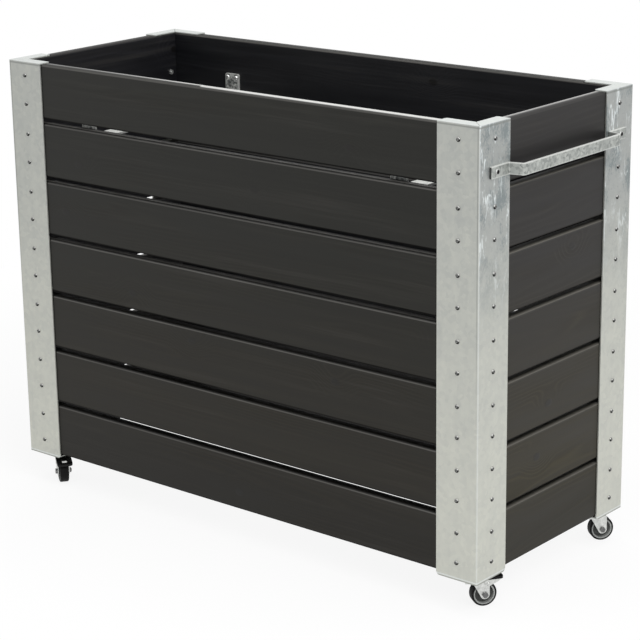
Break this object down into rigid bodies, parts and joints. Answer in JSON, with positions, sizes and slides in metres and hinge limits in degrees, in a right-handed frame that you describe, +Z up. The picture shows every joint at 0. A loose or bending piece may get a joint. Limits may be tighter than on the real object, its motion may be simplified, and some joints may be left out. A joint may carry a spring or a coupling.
{
  "type": "rolling planter",
  "caption": "Tall open-bottomed planter of dark painted boards in folded galvanised corner posts, with end handles, cross ties for the trays, and braked swivel casters.",
  "frame": {"origin": "on the floor, under the centre of the planter", "axes": "+X along the length, +Y from the front long wall to the back one, +Z up"},
  "size_m": [1.264, 0.5048, 0.93],
  "materials": {
    "painted_board": "dark charcoal paint on planed softwood, satin",
    "galvanised_steel": "hot-dip galvanised sheet, dull",
    "screw_steel": "zinc-plated, dull",
    "bolt_steel": "zinc-plated",
    "caster_steel": "bright zinc-plated pressed steel",
    "tyre_rubber": "black rubber, matt",
    "wheel_plastic": "grey moulded plastic",
    "pedal_plastic": "black moulded plastic"
  },
  "bodies": {
    "frame": {"back_board_1": "painted_board", "back_board_2": "painted_board", "back_board_3": "painted_board", "back_board_4": "painted_board", "back_board_5": "painted_board", "back_board_6": "painted_board", "back_board_7": "painted_board", "caster_top_plates": "caster_steel", "corner_post_back_left": "galvanised_steel", "corner_post_back_right": "galvanised_steel", "corner_post_front_left": "galvanised_steel", "corner_post_front_right": "galvanised_steel", "frame_bolts": "bolt_steel", "front_board_1": "painted_board", "front_board_2": "painted_board", "front_board_3": "painted_board", "front_board_4": "painted_board", "front_board_5": "painted_board", "front_board_6": "painted_board", "front_board_7": "painted_board", "handle_left": "galvanised_steel", "handle_right": "galvanised_steel", "left_board_1": "painted_board", "left_board_2": "painted_board", "left_board_3": "painted_board", "left_board_4": "painted_board", "left_board_5": "painted_board", "left_board_6": "painted_board", "left_board_7": "painted_board", "right_board_1": "painted_board", "right_board_2": "painted_board", "right_board_3": "painted_board", "right_board_4": "painted_board", "right_board_5": "painted_board", "right_board_6": "painted_board", "right_board_7": "painted_board", "tie_left": "galvanised_steel", "tie_right": "galvanised_steel", "wood_screws": "screw_steel"},
    "front_left_swivel": {"caster_front_left_fork": "caster_steel", "caster_front_left_axle": "caster_steel"},
    "front_left_wheel": {"caster_front_left_wheel": "wheel_plastic", "caster_front_left_tyre": "tyre_rubber"},
    "front_left_brake": {"caster_front_left_brake_lever": "caster_steel", "caster_front_left_brake_pedal": "pedal_plastic"},
    "front_right_swivel": {"caster_front_right_fork": "caster_steel", "caster_front_right_axle": "caster_steel"},
    "front_right_wheel": {"caster_front_right_wheel": "wheel_plastic", "caster_front_right_tyre": "tyre_rubber"},
    "front_right_brake": {"caster_front_right_brake_lever": "caster_steel", "caster_front_right_brake_pedal": "pedal_plastic"},
    "back_left_swivel": {"caster_back_left_fork": "caster_steel", "caster_back_left_axle": "caster_steel"},
    "back_left_wheel": {"caster_back_left_wheel": "wheel_plastic", "caster_back_left_tyre": "tyre_rubber"},
    "back_right_swivel": {"caster_back_right_fork": "caster_steel", "caster_back_right_axle": "caster_steel"},
    "back_right_wheel": {"caster_back_right_wheel": "wheel_plastic", "caster_back_right_tyre": "tyre_rubber"}
  },
  "joints": [
    {"name": "front_left_caster_turn", "type": "hinge", "parent": "frame", "child": "front_left_swivel", "pos_m": [-0.554, -0.204, 0.055], "axis": [0, 0, 1], "continuous": true},
    {"name": "front_left_wheel_spin", "type": "hinge", "parent": "front_left_swivel", "child": "front_left_wheel", "pos_m": [-0.53434, -0.21777, 0.025], "axis": [0.5736, 0.8192, 0], "continuous": true},
    {"name": "front_left_brake_press", "type": "hinge", "parent": "front_left_swivel", "child": "front_left_brake", "pos_m": [-0.53024, -0.22063, 0.047], "axis": [0.5736, 0.8192, 0], "range_deg": [-16, 0]},
    {"name": "front_right_caster_turn", "type": "hinge", "parent": "frame", "child": "front_right_swivel", "pos_m": [0.554, -0.204, 0.055], "axis": [0, 0, 1], "continuous": true},
    {"name": "front_right_wheel_spin", "type": "hinge", "parent": "front_right_swivel", "child": "front_right_wheel", "pos_m": [0.56777, -0.18434, 0.025], "axis": [-0.8192, 0.5736, 0], "continuous": true},
    {"name": "front_right_brake_press", "type": "hinge", "parent": "front_right_swivel", "child": "front_right_brake", "pos_m": [0.57063, -0.18024, 0.047], "axis": [-0.8192, 0.5736, 0], "range_deg": [0, 16]},
    {"name": "back_left_caster_turn", "type": "hinge", "parent": "frame", "child": "back_left_swivel", "pos_m": [-0.554, 0.204, 0.055], "axis": [0, 0, 1], "continuous": true},
    {"name": "back_left_wheel_spin", "type": "hinge", "parent": "back_left_swivel", "child": "back_left_wheel", "pos_m": [-0.57718, 0.21021, 0.025], "axis": [-0.2588, -0.9659, 0], "continuous": true},
    {"name": "back_right_caster_turn", "type": "hinge", "parent": "frame", "child": "back_right_swivel", "pos_m": [0.554, 0.204, 0.055], "axis": [0, 0, 1], "continuous": true},
    {"name": "back_right_wheel_spin", "type": "hinge", "parent": "back_right_swivel", "child": "back_right_wheel", "pos_m": [0.56878, 0.22291, 0.025], "axis": [-0.788, 0.6157, 0], "continuous": true}
  ]
}
